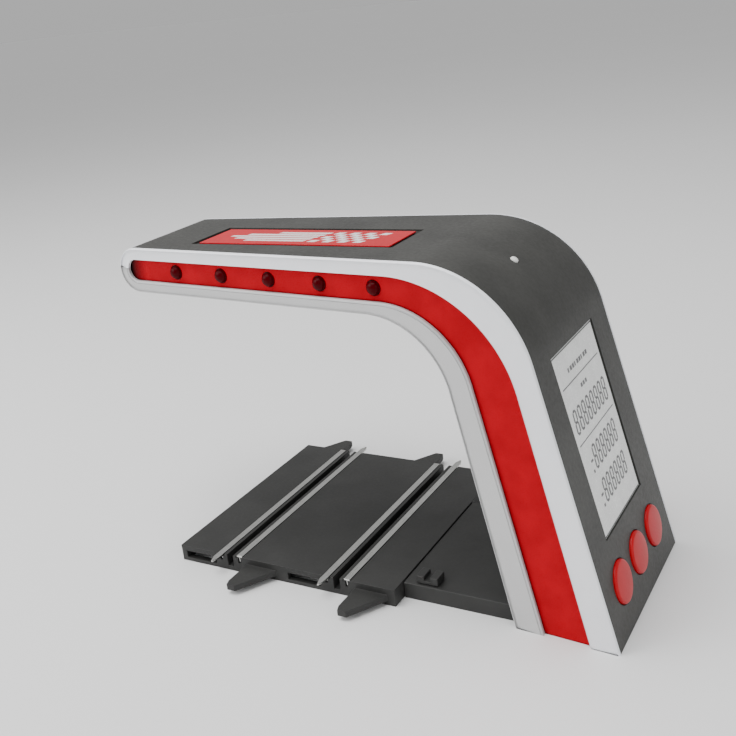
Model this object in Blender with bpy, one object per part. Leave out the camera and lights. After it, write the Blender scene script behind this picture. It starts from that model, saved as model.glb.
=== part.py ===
"""Electronic lap counter for a two-lane slot car track: a lit arch over a short straight.

Metres, +Z up. X runs across the track towards the tower, Y along the track.
Every piece is placed from the track's front left corner, under one empty that
puts the middle of the whole object's footprint at the world's origin.
"""
import bpy
import bmesh
from math import atan, cos, pi, radians, sin, tan
from mathutils import Matrix, Vector

MM = 0.001

# Driving dimensions
TRACK_WIDTH = 114 * MM
TRACK_LENGTH = 114 * MM
TRACK_HEIGHT = 8 * MM
LANE_SPACING = 57 * MM
HEIGHT = 149 * MM             # top of the arch
UNDERSIDE = 127 * MM          # underside of the beam
ARCH_CENTRE_Y = 45 * MM       # middle of the arch along the track
ARCH_END_WIDTH = 57 * MM      # the arch's width along Y at its free end
ARCH_TAPER = 0.147            # growth of that width for each unit of X
GAP = 0.3 * MM                # clearance between pieces that touch

# Track
LANES = (TRACK_WIDTH / 2 - LANE_SPACING / 2, TRACK_WIDTH / 2 + LANE_SPACING / 2)
SLOT_WIDTH = 3.2 * MM
SLOT_DEPTH = 5.6 * MM
RAIL_OFFSET = 5.1 * MM        # from the lane's middle to a rail's middle
RAIL_WIDTH = 3 * MM
RAIL_PROUD = 0.25 * MM
RAIL_WEB = 0.6 * MM
RAIL_DEPTH = 3 * MM
RAIL_TAB = 7.5 * MM
GROOVE_WIDTH = RAIL_WIDTH + 2 * GAP
GROOVE_DEPTH = 0.9 * MM
BED_SKIN = 2.4 * MM           # thickness of the driving surface
BED_WALL = 2.2 * MM
TONGUE_OFFSET = 14 * MM       # from the lane's middle to a tongue's middle
TONGUE_ROOT = (-5 * MM, 11 * MM)  # from its middle towards the lane and away from it
TONGUE_LENGTH = 17 * MM
TONGUE_BOTTOM = 2.2 * MM
TONGUE_TOP = 5 * MM

# Arch profile, as bent lines: along the top, round the bend and down the tower
NOSE_X = -11.4 * MM
NOSE_TOP = 147.2 * MM         # the top slopes down a little to the free end
NOSE_RADIUS = (NOSE_TOP - UNDERSIDE) / 2
NOSE_Z = (NOSE_TOP + UNDERSIDE) / 2
OUTER_BEND_X, OUTER_RADIUS, OUTER_LEAN = 132.5 * MM, 48 * MM, radians(15)
INNER_BEND_X, INNER_RADIUS, INNER_LEAN = 109 * MM, 36 * MM, radians(12.5)
TOP_SLOPE = atan((HEIGHT - NOSE_TOP) / (OUTER_BEND_X - NOSE_X))
BAND_TOP, BAND_NOSE_TOP, BAND_LOW = 142.9 * MM, 142 * MM, 132.3 * MM
BAND_OUT_BEND_X, BAND_OUT_RADIUS, BAND_OUT_LEAN = 119 * MM, 55 * MM, radians(14)
BAND_IN_BEND_X, BAND_IN_RADIUS, BAND_IN_LEAN = 115.5 * MM, 39.5 * MM, radians(13.5)
SEAM_ANGLE = radians(172)     # where upper and lower pieces meet on the nose
BEND_STEPS = 14
NOSE_STEPS = 7
OUTER_WALL = 2.2 * MM
INNER_WALL = 2 * MM
FRAME_DEPTH = 1.4 * MM        # thickness of the silver frames
BAND_RECESS = FRAME_DEPTH + GAP
BAND_THICKNESS = 1.3 * MM
BAND_OVERLAP = 1.5 * MM       # how far the band reaches behind the frames

# Foot and base
BASE_TOP = 7.5 * MM
BASE_FLOOR = 2.5 * MM
BASE_STEP_X = 169 * MM
BASE_FRONT, BASE_BACK = 7.8 * MM, 82.2 * MM

# Lamps in the red band
LAMP_COUNT = 5
LAMP_FIRST_X = 11.5 * MM
LAMP_SPACING = 25.6 * MM
LAMP_BOARD_Z = 137.3 * MM
LAMP_RADIUS = 3 * MM
LAMP_DOME = 2.3 * MM
BOARD_BEHIND_FRONT = 7 * MM

# Top plate
PLATE_X = (16.5 * MM, 111.5 * MM)
PLATE_Y = (29 * MM, 53 * MM)
PLATE_MARGIN = 2.5 * MM
PLATE_POCKET = 1 * MM
PLATE_THICKNESS = 0.6 * MM

# Control face: Y across, V up the leaning face, W outwards from its surface
DISPLAY_Y = (19.5 * MM, 68.5 * MM)
DISPLAY_V = (38.5 * MM, 114 * MM)
WINDOW_SINK = 0.5 * MM
WINDOW_THICKNESS = 1.2 * MM
LCD_THICKNESS = 1.8 * MM
BUTTON_Y = (22 * MM, 45 * MM, 68 * MM)
BUTTON_V = 19.5 * MM
BUTTON_RADIUS = 8.8 * MM
BUTTON_PROUD = 1.6 * MM
BOARD_W = -6.5 * MM
BOARD_THICKNESS = 1.6 * MM

# Battery bay on the tower's inner face: V up that face, W into the tower
BAY_Y = (16 * MM, 74 * MM)
BAY_V = (14.6 * MM, 67 * MM)
COVER_HINGE_V = 16.6 * MM
TRAY_WALL = 1.2 * MM
TRAY_DEPTH = 18 * MM
CELL_RADIUS = 7.1 * MM
CELL_LENGTH = 50.5 * MM
CELL_V = (25.4 * MM, 41 * MM, 56.6 * MM)
CELL_W = 11.5 * MM
SPEAKER_Y, SPEAKER_V, SPEAKER_RADIUS = 56 * MM, 84 * MM, 10 * MM
SWITCH_Y, SWITCH_V = 26 * MM, 84 * MM
SWITCH_TRAVEL = 4 * MM

SENSOR_RADIUS = 3.2 * MM
SHELL_SCREW_X = (2 * MM, 104 * MM)
SHELL_SCREW_SPREAD = 14 * MM  # to each side of the arch's middle


def outer_foot_x():
    """X of the outer skin where it meets the ground."""
    bend_end_z = HEIGHT - OUTER_RADIUS + OUTER_RADIUS * sin(OUTER_LEAN)
    return OUTER_BEND_X + OUTER_RADIUS * cos(OUTER_LEAN) + bend_end_z * tan(OUTER_LEAN)


def inner_foot_x():
    """X of the inner skin's line where it meets the ground."""
    bend_end_z = UNDERSIDE - INNER_RADIUS + INNER_RADIUS * sin(INNER_LEAN)
    return INNER_BEND_X + INNER_RADIUS * cos(INNER_LEAN) + bend_end_z * tan(INNER_LEAN)


def front_y(x):
    """Y of the arch's front plane at x."""
    return ARCH_CENTRE_Y - (ARCH_END_WIDTH + ARCH_TAPER * (x - NOSE_X)) / 2


def back_y(x):
    """Y of the arch's back plane at x."""
    return 2 * ARCH_CENTRE_Y - front_y(x)


def shell_screw_places():
    """X and Y of the screws in the beam's underside."""
    return [(x, ARCH_CENTRE_Y + side * SHELL_SCREW_SPREAD) for x in SHELL_SCREW_X for side in (-1, 1)]


# ---------------------------------------------------------------- helpers

def clear_scene():
    for item in list(bpy.data.objects):
        bpy.data.objects.remove(item)


def material(name, colour, roughness, metallic=0.0):
    made = bpy.data.materials.get(name) or bpy.data.materials.new(name)
    made.use_nodes = True
    shader = made.node_tree.nodes["Principled BSDF"]
    shader.inputs["Base Color"].default_value = (*colour, 1.0)
    shader.inputs["Roughness"].default_value = roughness
    shader.inputs["Metallic"].default_value = metallic
    return made


def empty(name, place, turn_y=0.0, parent=None):
    made = bpy.data.objects.new(name, None)
    made.location = place
    made.rotation_euler = (0, turn_y, 0)
    made.parent = parent
    bpy.context.collection.objects.link(made)
    return made


def finish(name, bm, look, parent, place=(0, 0, 0), smooth=False):
    """Turns a bmesh into an object with its own material."""
    bmesh.ops.recalc_face_normals(bm, faces=bm.faces)
    mesh = bpy.data.meshes.new(name)
    bm.to_mesh(mesh)
    bm.free()
    if smooth:
        mesh.shade_smooth()
        mesh.set_sharp_from_angle(angle=radians(35))
    made = bpy.data.objects.new(name, mesh)
    made.location = place
    made.parent = parent
    if look:
        mesh.materials.append(material(name, *look))
    bpy.context.collection.objects.link(made)
    return made


def add_prism(bm, outline, low, high):
    """Extrudes an X-Z outline between two planes, y = low(x) and y = high(x)."""
    near = [bm.verts.new((x, low(x), z)) for x, z in outline]
    far = [bm.verts.new((x, high(x), z)) for x, z in outline]
    bm.faces.new(near)
    bm.faces.new(list(reversed(far)))
    count = len(outline)
    for i in range(count):
        j = (i + 1) % count
        bm.faces.new((near[j], near[i], far[i], far[j]))


def prism(name, outline, low, high, look, parent, smooth=True):
    bm = bmesh.new()
    add_prism(bm, outline, low, high)
    return finish(name, bm, look, parent, smooth=smooth)


def add_box(bm, low, high):
    size = Vector(high) - Vector(low)
    middle = (Vector(high) + Vector(low)) / 2
    scale = Matrix.Diagonal((*size, 1))
    bmesh.ops.create_cube(bm, size=1, matrix=Matrix.Translation(middle) @ scale)


def box(name, low, high, look, parent, place=(0, 0, 0)):
    bm = bmesh.new()
    add_box(bm, low, high)
    return finish(name, bm, look, parent, place)


AXIS_TURNS = {"X": Matrix.Rotation(pi / 2, 4, "Y"),
              "Y": Matrix.Rotation(-pi / 2, 4, "X"),
              "Z": Matrix.Identity(4)}


def add_turned(bm, profile, axis, place, segments):
    """Turns (radius, height) pairs about an axis. A zero radius closes the end."""
    turn = Matrix.Translation(place) @ AXIS_TURNS[axis]
    rings = []
    for radius, height in profile:
        if radius == 0:
            rings.append([bm.verts.new(turn @ Vector((0, 0, height)))])
            continue
        angles = [2 * pi * i / segments for i in range(segments)]
        rings.append([bm.verts.new(turn @ Vector((radius * cos(a), radius * sin(a), height)))
                      for a in angles])
    for ring, following in zip(rings, rings[1:]):
        for i in range(segments):
            j = (i + 1) % segments
            if len(ring) == 1:
                bm.faces.new((ring[0], following[i], following[j]))
            elif len(following) == 1:
                bm.faces.new((ring[i], ring[j], following[0]))
            else:
                bm.faces.new((ring[i], ring[j], following[j], following[i]))
    for ring in (rings[0], rings[-1]):
        if len(ring) > 1:
            bm.faces.new(ring)


def turned(name, profile, axis, place, look, parent, segments=24):
    """A turned piece whose origin is at its own place on the axis."""
    bm = bmesh.new()
    add_turned(bm, profile, axis, (0, 0, 0), segments)
    return finish(name, bm, look, parent, place, smooth=True)


def cut(target, cutter):
    """Cuts one object from another and hides the cutter."""
    cutter.hide_render = True
    cutter.display_type = "WIRE"
    step = target.modifiers.new(cutter.name, "BOOLEAN")
    step.operation = "DIFFERENCE"
    step.solver = "EXACT"
    step.object = cutter


def box_cutter(name, boxes, parent):
    bm = bmesh.new()
    for low, high in boxes:
        add_box(bm, low, high)
    return finish(name, bm, None, parent)


def turned_cutter(name, holes, axis, parent, segments=24):
    """Straight round holes, each as (radius, start, end, place)."""
    bm = bmesh.new()
    for radius, start, end, place in holes:
        add_turned(bm, [(radius, start), (radius, end)], axis, place, segments)
    return finish(name, bm, None, parent)


# ---------------------------------------------------------------- arch lines

def bent_line(top, bend_x, radius, lean, low, start=NOSE_X, drop=0.0):
    """Along the top, which starts lower by drop, round the bend and down to z = low."""
    points = [(start, top - drop)]
    for i in range(BEND_STEPS + 1):
        angle = (pi / 2 - lean) * i / BEND_STEPS
        points.append((bend_x + radius * sin(angle), top - radius + radius * cos(angle)))
    x, z = points[-1]
    points.append((x + (z - low) * tan(lean), low))
    return points


def outer_line(inset, low):
    return bent_line(HEIGHT - inset, OUTER_BEND_X, OUTER_RADIUS - inset, OUTER_LEAN, low,
                     drop=HEIGHT - NOSE_TOP)


def inner_line(inset, low):
    return bent_line(UNDERSIDE + inset, INNER_BEND_X, INNER_RADIUS + inset, INNER_LEAN, low)


def band_outer_line(grow, low):
    return bent_line(BAND_TOP + grow, BAND_OUT_BEND_X, BAND_OUT_RADIUS + grow, BAND_OUT_LEAN, low,
                     drop=BAND_TOP - BAND_NOSE_TOP)


def band_inner_line(grow, low):
    return bent_line(BAND_LOW - grow, BAND_IN_BEND_X, BAND_IN_RADIUS - grow, BAND_IN_LEAN, low)


def nose_arc(radius, middle_z, start, end):
    """Arc about the nose's axis, from one angle to another, both ends included."""
    points = []
    for i in range(NOSE_STEPS + 1):
        angle = start + (end - start) * i / NOSE_STEPS
        points.append((NOSE_X + radius * cos(angle), middle_z + radius * sin(angle)))
    return points


UP, DOWN = pi / 2, 3 * pi / 2
SEAM_HALF = GAP / 2 / NOSE_RADIUS
BAND_END_RADIUS = (BAND_NOSE_TOP - BAND_LOW) / 2
BAND_MIDDLE = (BAND_NOSE_TOP + BAND_LOW) / 2


def upper_outline(inner_arc_radius, inner_arc_z, inside_line):
    """From the seam over the nose and down the outside, then back along a line."""
    seam = SEAM_ANGLE - SEAM_HALF
    outside = nose_arc(NOSE_RADIUS, NOSE_Z, seam, UP)[:-1] + outer_line(0, 0)
    inside = nose_arc(inner_arc_radius, inner_arc_z, seam, UP)[:-1] + inside_line
    return outside + inside[::-1]


def lower_outline(inner_arc_radius, inner_arc_z, outside_line, low):
    """From the seam under the nose and down the inner face, then back along a line."""
    seam = SEAM_ANGLE + SEAM_HALF
    inside = nose_arc(NOSE_RADIUS, NOSE_Z, seam, DOWN)[:-1] + inner_line(0, low)
    outside = nose_arc(inner_arc_radius, inner_arc_z, seam, DOWN)[:-1] + outside_line
    return inside + outside[::-1]


# ---------------------------------------------------------------- track

DARK_TRACK = ((0.03, 0.03, 0.029), 0.55)
STEEL = ((0.62, 0.62, 0.60), 0.3, 1.0)
DARK_SHELL = ((0.035, 0.035, 0.033), 0.5)
SILVER = ((0.62, 0.63, 0.65), 0.35, 0.3)
RED = ((0.45, 0.005, 0.006), 0.35)
BOARD_GREEN = ((0.02, 0.12, 0.04), 0.5)
PALE = ((0.62, 0.64, 0.6), 0.3)


def bed_outline():
    """Cross-section of the bed: two slots, four rail grooves, hollow below."""
    groove_sides = []
    for lane in LANES:
        slot_left, slot_right = lane - SLOT_WIDTH / 2, lane + SLOT_WIDTH / 2
        for side in (-1, 1):
            middle = lane + side * RAIL_OFFSET
            left, right = middle - GROOVE_WIDTH / 2, middle + GROOVE_WIDTH / 2
            web_left, web_right = middle - RAIL_WEB, middle + RAIL_WEB
            groove = [(left, TRACK_HEIGHT), (left, TRACK_HEIGHT - GROOVE_DEPTH),
                      (web_left, TRACK_HEIGHT - GROOVE_DEPTH),
                      (web_left, TRACK_HEIGHT - RAIL_DEPTH - GAP),
                      (web_right, TRACK_HEIGHT - RAIL_DEPTH - GAP),
                      (web_right, TRACK_HEIGHT - GROOVE_DEPTH),
                      (right, TRACK_HEIGHT - GROOVE_DEPTH), (right, TRACK_HEIGHT)]
            groove_sides += groove
            if side == -1:
                floor = TRACK_HEIGHT - SLOT_DEPTH
                groove_sides += [(slot_left, TRACK_HEIGHT), (slot_left, floor),
                                 (slot_right, floor), (slot_right, TRACK_HEIGHT)]
    top = [(0, TRACK_HEIGHT)] + groove_sides + [(TRACK_WIDTH, TRACK_HEIGHT)]
    ceiling = TRACK_HEIGHT - BED_SKIN
    rib = RAIL_OFFSET + GROOVE_WIDTH / 2 + BED_WALL
    hollows = [(BED_WALL, LANES[0] - rib), (LANES[0] + rib, LANES[1] - rib),
               (LANES[1] + rib, TRACK_WIDTH - BED_WALL)]
    below = [(TRACK_WIDTH, 0)]
    for left, right in reversed(hollows):
        below += [(right, 0), (right, ceiling), (left, ceiling), (left, 0)]
    below.append((0, 0))
    return top, below


def solid_bed_outline():
    top, below = bed_outline()
    return top + [below[0], below[-1]]


def tongue_points(side):
    """Plan of a tongue that sticks out of one end, as X-Y points from its root."""
    (near, far), tip = TONGUE_ROOT, TONGUE_LENGTH
    plan = [(near, -1 * MM), (far, -1 * MM), (far, 0), (1.5 * MM, tip - 2 * MM),
            (0, tip), (near + 1 * MM, tip), (near, tip - 3 * MM)]
    return [(side * -x, side * y) for x, y in plan]


def add_tongue(bm, side, middle_x):
    edge_y = TRACK_LENGTH if side > 0 else 0
    points = [(middle_x + x, edge_y + y) for x, y in tongue_points(side)]
    low = [bm.verts.new((x, y, TONGUE_BOTTOM)) for x, y in points]
    high = [bm.verts.new((x, y, TONGUE_TOP)) for x, y in points]
    bm.faces.new(list(reversed(low)))
    bm.faces.new(high)
    for i in range(len(points)):
        j = (i + 1) % len(points)
        bm.faces.new((low[i], low[j], high[j], high[i]))


def build_track(parent):
    end_wall = 3 * MM
    top, below = bed_outline()
    bed = prism("track_bed", top + below, lambda x: 0, lambda x: TRACK_LENGTH,
                DARK_TRACK, parent, smooth=False)
    rib = RAIL_OFFSET + GROOVE_WIDTH / 2 + BED_WALL
    spans = [(BED_WALL, LANES[0] - rib), (LANES[0] + rib, LANES[1] - rib),
             (LANES[1] + rib, TRACK_WIDTH - BED_WALL)]
    bm = bmesh.new()
    for left, right in spans:
        for start in (0, TRACK_LENGTH - end_wall):
            add_box(bm, (left - 0.5 * MM, start, 0),
                    (right + 0.5 * MM, start + end_wall, TRACK_HEIGHT - BED_SKIN + 0.5 * MM))
    walls = finish("bed_end_walls", bm, None, parent)
    join(bed, walls)
    bm = bmesh.new()
    for lane in LANES:
        add_tongue(bm, 1, lane - TONGUE_OFFSET)
        add_tongue(bm, -1, lane + TONGUE_OFFSET)
    join(bed, finish("bed_tongues", bm, None, parent))
    pockets = []
    for lane in LANES:
        for side, start in ((1, -1 * MM), (-1, TRACK_LENGTH - end_wall - 1 * MM)):
            middle = lane - side * TONGUE_OFFSET
            reach = sorted(middle - side * (edge + 2 * GAP * (1 if edge > 0 else -1))
                           for edge in TONGUE_ROOT)
            pockets.append(((reach[0], start, TONGUE_BOTTOM - GAP),
                            (reach[1], start + end_wall + 2 * MM, TONGUE_TOP + GAP)))
    cut(bed, box_cutter("tongue_pockets", pockets, parent))
    for number, lane in enumerate(LANES, 1):
        for side, name in ((-1, "left"), (1, "right")):
            build_rail(f"rail_lane{number}_{name}", lane + side * RAIL_OFFSET, side, parent)


def join(target, other):
    """Unites another closed mesh with the target."""
    other.hide_render = True
    other.display_type = "WIRE"
    step = target.modifiers.new(other.name, "BOOLEAN")
    step.operation = "UNION"
    step.solver = "EXACT"
    step.object = other


def build_rail(name, middle_x, side, parent):
    """A T-section rail whose flange runs past one end as a pointed contact tab."""
    high = TRACK_HEIGHT + RAIL_PROUD
    flange = TRACK_HEIGHT - GROOVE_DEPTH + GAP
    web = RAIL_WEB - GAP
    half = RAIL_WIDTH / 2
    start = 0.5 * MM
    end = TRACK_LENGTH - 0.5 * MM
    section = [(-half, flange), (-web, flange), (-web, high - RAIL_DEPTH), (web, high - RAIL_DEPTH),
               (web, flange), (half, flange), (half, high), (-half, high)]
    bm = bmesh.new()
    near = [bm.verts.new((middle_x + x, start, z)) for x, z in section]
    far = [bm.verts.new((middle_x + x, end, z)) for x, z in section]
    count = len(section)
    for i in range(count):
        j = (i + 1) % count
        bm.faces.new((near[j], near[i], far[i], far[j]))
    ends = (near, far) if side > 0 else (far, near)
    bm.faces.new(ends[0])
    ring = ends[1]
    edge, reach = (end, end + RAIL_TAB) if side > 0 else (start, start - RAIL_TAB)
    shoulder = edge + (reach - edge) * 0.55
    # The web stops at the edge; the flange goes on and comes to a point.
    bm.faces.new((ring[1], ring[2], ring[3], ring[4]))
    flange_ring = [ring[0], ring[1], ring[4], ring[5], ring[6], ring[7]]
    plan = [(-half, shoulder), (-web, shoulder), (web, shoulder), (half, shoulder)]
    low = [bm.verts.new((middle_x + x, y, flange)) for x, y in plan]
    up = [bm.verts.new((middle_x + x, y, high)) for x, y in (plan[3], plan[0])]
    middle_ring = low + up
    for i in range(6):
        j = (i + 1) % 6
        bm.faces.new((flange_ring[i], flange_ring[j], middle_ring[j], middle_ring[i]))
    tip_half = half * 0.25
    tip_low = [bm.verts.new((middle_x + x, reach, flange)) for x in (-tip_half, tip_half)]
    tip_high = [bm.verts.new((middle_x + x, reach, high - 0.2 * MM)) for x in (tip_half, -tip_half)]
    bm.faces.new((low[0], low[1], low[2], low[3], tip_low[1], tip_low[0]))
    bm.faces.new((up[0], up[1], tip_high[1], tip_high[0]))
    bm.faces.new((low[3], up[0], tip_high[0], tip_low[1]))
    bm.faces.new((up[1], low[0], tip_low[0], tip_high[1]))
    bm.faces.new((tip_low[0], tip_low[1], tip_high[0], tip_high[1]))
    finish(name, bm, STEEL, parent)


# ---------------------------------------------------------------- arch skins

def within(offset):
    """Pair of planes inside the arch, offset from its front and back."""
    return (lambda x: front_y(x) + offset), (lambda x: back_y(x) - offset)


def build_shells(parent, control, bay, top_seat):
    low, high = within(BAND_RECESS)
    outline = upper_outline(NOSE_RADIUS - OUTER_WALL, NOSE_Z, outer_line(OUTER_WALL, 0))
    outer = prism("outer_shell", outline, low, high, DARK_SHELL, parent)
    pocket = ((PLATE_X[0] - PLATE_MARGIN - NOSE_X, PLATE_Y[0] - PLATE_MARGIN, -PLATE_POCKET),
              (PLATE_X[1] + PLATE_MARGIN - NOSE_X, PLATE_Y[1] + PLATE_MARGIN, 1 * MM))
    cut(outer, box_cutter("plate_pocket", [pocket], top_seat))
    opening = ((-4 * MM, DISPLAY_Y[0], DISPLAY_V[0]), (1 * MM, DISPLAY_Y[1], DISPLAY_V[1]))
    cut(outer, box_cutter("display_opening", [opening], control))
    holes = [(BUTTON_RADIUS + 0.4 * MM, -4 * MM, 1 * MM, (0, y, BUTTON_V)) for y in BUTTON_Y]
    cut(outer, turned_cutter("button_holes", holes, "X", control, 32))

    outline = lower_outline(NOSE_RADIUS - INNER_WALL, NOSE_Z,
                            inner_line(INNER_WALL, BASE_TOP + GAP), BASE_TOP + GAP)
    inner = prism("inner_shell", outline, low, high, DARK_SHELL, parent)
    bay_cut = ((-1 * MM, BAY_Y[0], BAY_V[0]), (3 * MM, BAY_Y[1], BAY_V[1]))
    slot_half = (5 * MM, 2 * MM)
    slot_cut = ((-1 * MM, SWITCH_Y - slot_half[0], SWITCH_V - slot_half[1]),
                (3 * MM, SWITCH_Y + slot_half[0], SWITCH_V + slot_half[1]))
    grille = []
    for i in range(5):
        v = SPEAKER_V + (i - 2) * 3.4 * MM
        reach = 8 * MM - abs(i - 2) * 1.6 * MM
        grille.append(((-1 * MM, SPEAKER_Y - reach, v - 0.7 * MM),
                       (3 * MM, SPEAKER_Y + reach, v + 0.7 * MM)))
    cut(inner, box_cutter("inner_face_openings", [bay_cut, slot_cut] + grille, bay))
    under = UNDERSIDE - 1 * MM
    holes = [(SENSOR_RADIUS + GAP, 0, 4 * MM, (x, ARCH_CENTRE_Y, under)) for x in LANES]
    holes += [(2.2 * MM, 0, 2.4 * MM, (x, y, under)) for x, y in shell_screw_places()]
    cut(inner, turned_cutter("underside_holes", holes, "Z", parent, 16))


def build_frames(parent):
    upper = upper_outline(BAND_END_RADIUS, BAND_MIDDLE, band_outer_line(0, 0))
    lower = lower_outline(BAND_END_RADIUS, BAND_MIDDLE, band_inner_line(0, 0), 0)
    for side in ("front", "rear"):
        if side == "front":
            near, far = front_y, (lambda x: front_y(x) + FRAME_DEPTH)
        else:
            near, far = (lambda x: back_y(x) - FRAME_DEPTH), back_y
        prism(f"{side}_frame_upper", upper, near, far, SILVER, parent)
        prism(f"{side}_frame_lower", lower, near, far, SILVER, parent)


def build_bands(parent):
    end = nose_arc(BAND_END_RADIUS + BAND_OVERLAP, BAND_MIDDLE, DOWN, UP)[1:-1]
    outline = end + band_outer_line(BAND_OVERLAP, 0) + band_inner_line(BAND_OVERLAP, 0)[::-1]
    near, far = within(BAND_RECESS)
    deep_near, deep_far = within(BAND_RECESS + BAND_THICKNESS)
    band = prism("front_band", outline, near, deep_near, RED, parent)
    prism("rear_band", outline, deep_far, far, RED, parent)
    holes = [(LAMP_RADIUS + GAP, -3 * MM, 8 * MM, (x, front_y(x), lamp_z(x))) for x in lamp_places()]
    cut(band, turned_cutter("lamp_holes", holes, "Y", parent, 20))


def lamp_places():
    return [LAMP_FIRST_X + i * LAMP_SPACING for i in range(LAMP_COUNT)]


def lamp_z(x):
    """Height of the band's middle at x, along the beam."""
    share = (x - NOSE_X) / (BAND_OUT_BEND_X - NOSE_X)
    return BAND_MIDDLE + share * (BAND_TOP - BAND_NOSE_TOP) / 2


def build_lamps(parent):
    """Five domed lamps, the strip board they stand on and its ribbon to the tower."""
    body = BOARD_BEHIND_FRONT - GAP
    start = BAND_RECESS
    for number, x in enumerate(lamp_places(), 1):
        dome = []
        for i in range(4):
            angle = pi / 2 * i / 4
            dome.append((LAMP_RADIUS * sin(angle), start - LAMP_DOME * cos(angle)))
        profile = dome + [(LAMP_RADIUS, start), (LAMP_RADIUS, body)]
        turned(f"lamp_{number}", profile, "Y", (x, front_y(x), lamp_z(x)),
               ((0.16, 0.0, 0.004), 0.15), parent, 20)
    first, last = lamp_places()[0] - 8 * MM, lamp_places()[-1] + 8 * MM
    low, high = LAMP_BOARD_Z - 4.5 * MM, LAMP_BOARD_Z + 4 * MM
    outline = [(first, low), (last, low), (last, high), (first, high)]
    board_back = BOARD_BEHIND_FRONT + 1.4 * MM
    prism("lamp_board", outline, lambda x: front_y(x) + BOARD_BEHIND_FRONT,
          lambda x: front_y(x) + board_back, BOARD_GREEN, parent, smooth=False)
    ribbon_start = last + 2 * MM
    above = bent_line(LAMP_BOARD_Z + 0.4 * MM, 124 * MM, 30 * MM, OUTER_LEAN, 96 * MM, ribbon_start)
    under = bent_line(LAMP_BOARD_Z, 124 * MM, 29.6 * MM, OUTER_LEAN, 96 * MM, ribbon_start)
    prism("lamp_ribbon", above + under[::-1], lambda x: 20 * MM, lambda x: 28 * MM,
          ((0.5, 0.5, 0.48), 0.5), parent)


def build_top(top_seat):
    floor = -PLATE_POCKET + GAP
    box("top_plate", (PLATE_X[0] - NOSE_X, PLATE_Y[0], floor),
        (PLATE_X[1] - NOSE_X, PLATE_Y[1], floor + PLATE_THICKNESS), RED, top_seat)


def build_status_lamp(parent, outer):
    """A small white lamp, square to the bend's surface."""
    angle = radians(33)
    x = OUTER_BEND_X + OUTER_RADIUS * sin(angle)
    z = HEIGHT - OUTER_RADIUS + OUTER_RADIUS * cos(angle)
    seat = empty("status_lamp_seat", (x, 42 * MM, z), angle, parent)
    hole = turned_cutter("status_lamp_hole", [(2 * MM, -4 * MM, 2 * MM, (0, 0, 0))], "Z", seat, 16)
    cut(outer, hole)
    profile = [(1.7 * MM, -4.5 * MM), (1.7 * MM, 0), (1.2 * MM, 0.6 * MM), (0, 0.8 * MM)]
    turned("status_lamp", profile, "Z", (0, 0, 0), ((0.85, 0.85, 0.82), 0.3), seat, 16)


# ---------------------------------------------------------------- control face

def build_display(control):
    y0, y1 = DISPLAY_Y[0] + GAP, DISPLAY_Y[1] - GAP
    v0, v1 = DISPLAY_V[0] + GAP, DISPLAY_V[1] - GAP
    front = -WINDOW_SINK
    back = front - WINDOW_THICKNESS
    box("display_window", (back, y0, v0), (front, y1, v1), PALE, control)
    glass_front = -OUTER_WALL - GAP
    glass_back = glass_front - LCD_THICKNESS
    box("lcd_panel", (glass_back, y0 - 1 * MM, v0 - 1 * MM), (glass_front, y1 + 1 * MM, v1 + 1 * MM),
        ((0.55, 0.58, 0.52), 0.3), control)
    for name, v in (("lower", v0 + 1 * MM), ("upper", v1 - 4 * MM)):
        box(f"lcd_connector_{name}", (BOARD_W + GAP, y0 + 2 * MM, v),
            (glass_back - GAP, y1 - 2 * MM, v + 3 * MM), ((0.8, 0.45, 0.55), 0.6), control)
    box("display_board", (BOARD_W - BOARD_THICKNESS, 10 * MM, 7 * MM), (BOARD_W, 79 * MM, 116 * MM),
        BOARD_GREEN, control)


def build_buttons(control):
    flange_top = -OUTER_WALL - GAP
    profile = [(2.2 * MM, -4.4 * MM), (2.2 * MM, flange_top - 1.2 * MM),
               (BUTTON_RADIUS + 1.3 * MM, flange_top - 1.2 * MM),
               (BUTTON_RADIUS + 1.3 * MM, flange_top), (BUTTON_RADIUS, flange_top),
               (BUTTON_RADIUS, BUTTON_PROUD - 0.9 * MM), (BUTTON_RADIUS - 0.9 * MM, BUTTON_PROUD - 0.2 * MM),
               (BUTTON_RADIUS - 3 * MM, BUTTON_PROUD)]
    for name, y in zip(("left", "middle", "right"), BUTTON_Y):
        turned(f"button_{name}", profile, "X", (0, y, BUTTON_V), ((0.55, 0.004, 0.006), 0.3),
               control, 32)
        turned(f"switch_pad_{name}", [(3 * MM, BOARD_W + GAP), (3 * MM, BOARD_W + 2 * GAP)], "X",
               (0, y, BUTTON_V), ((0.1, 0.1, 0.1), 0.4, 0.5), control, 16)


# ---------------------------------------------------------------- inner face

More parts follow.
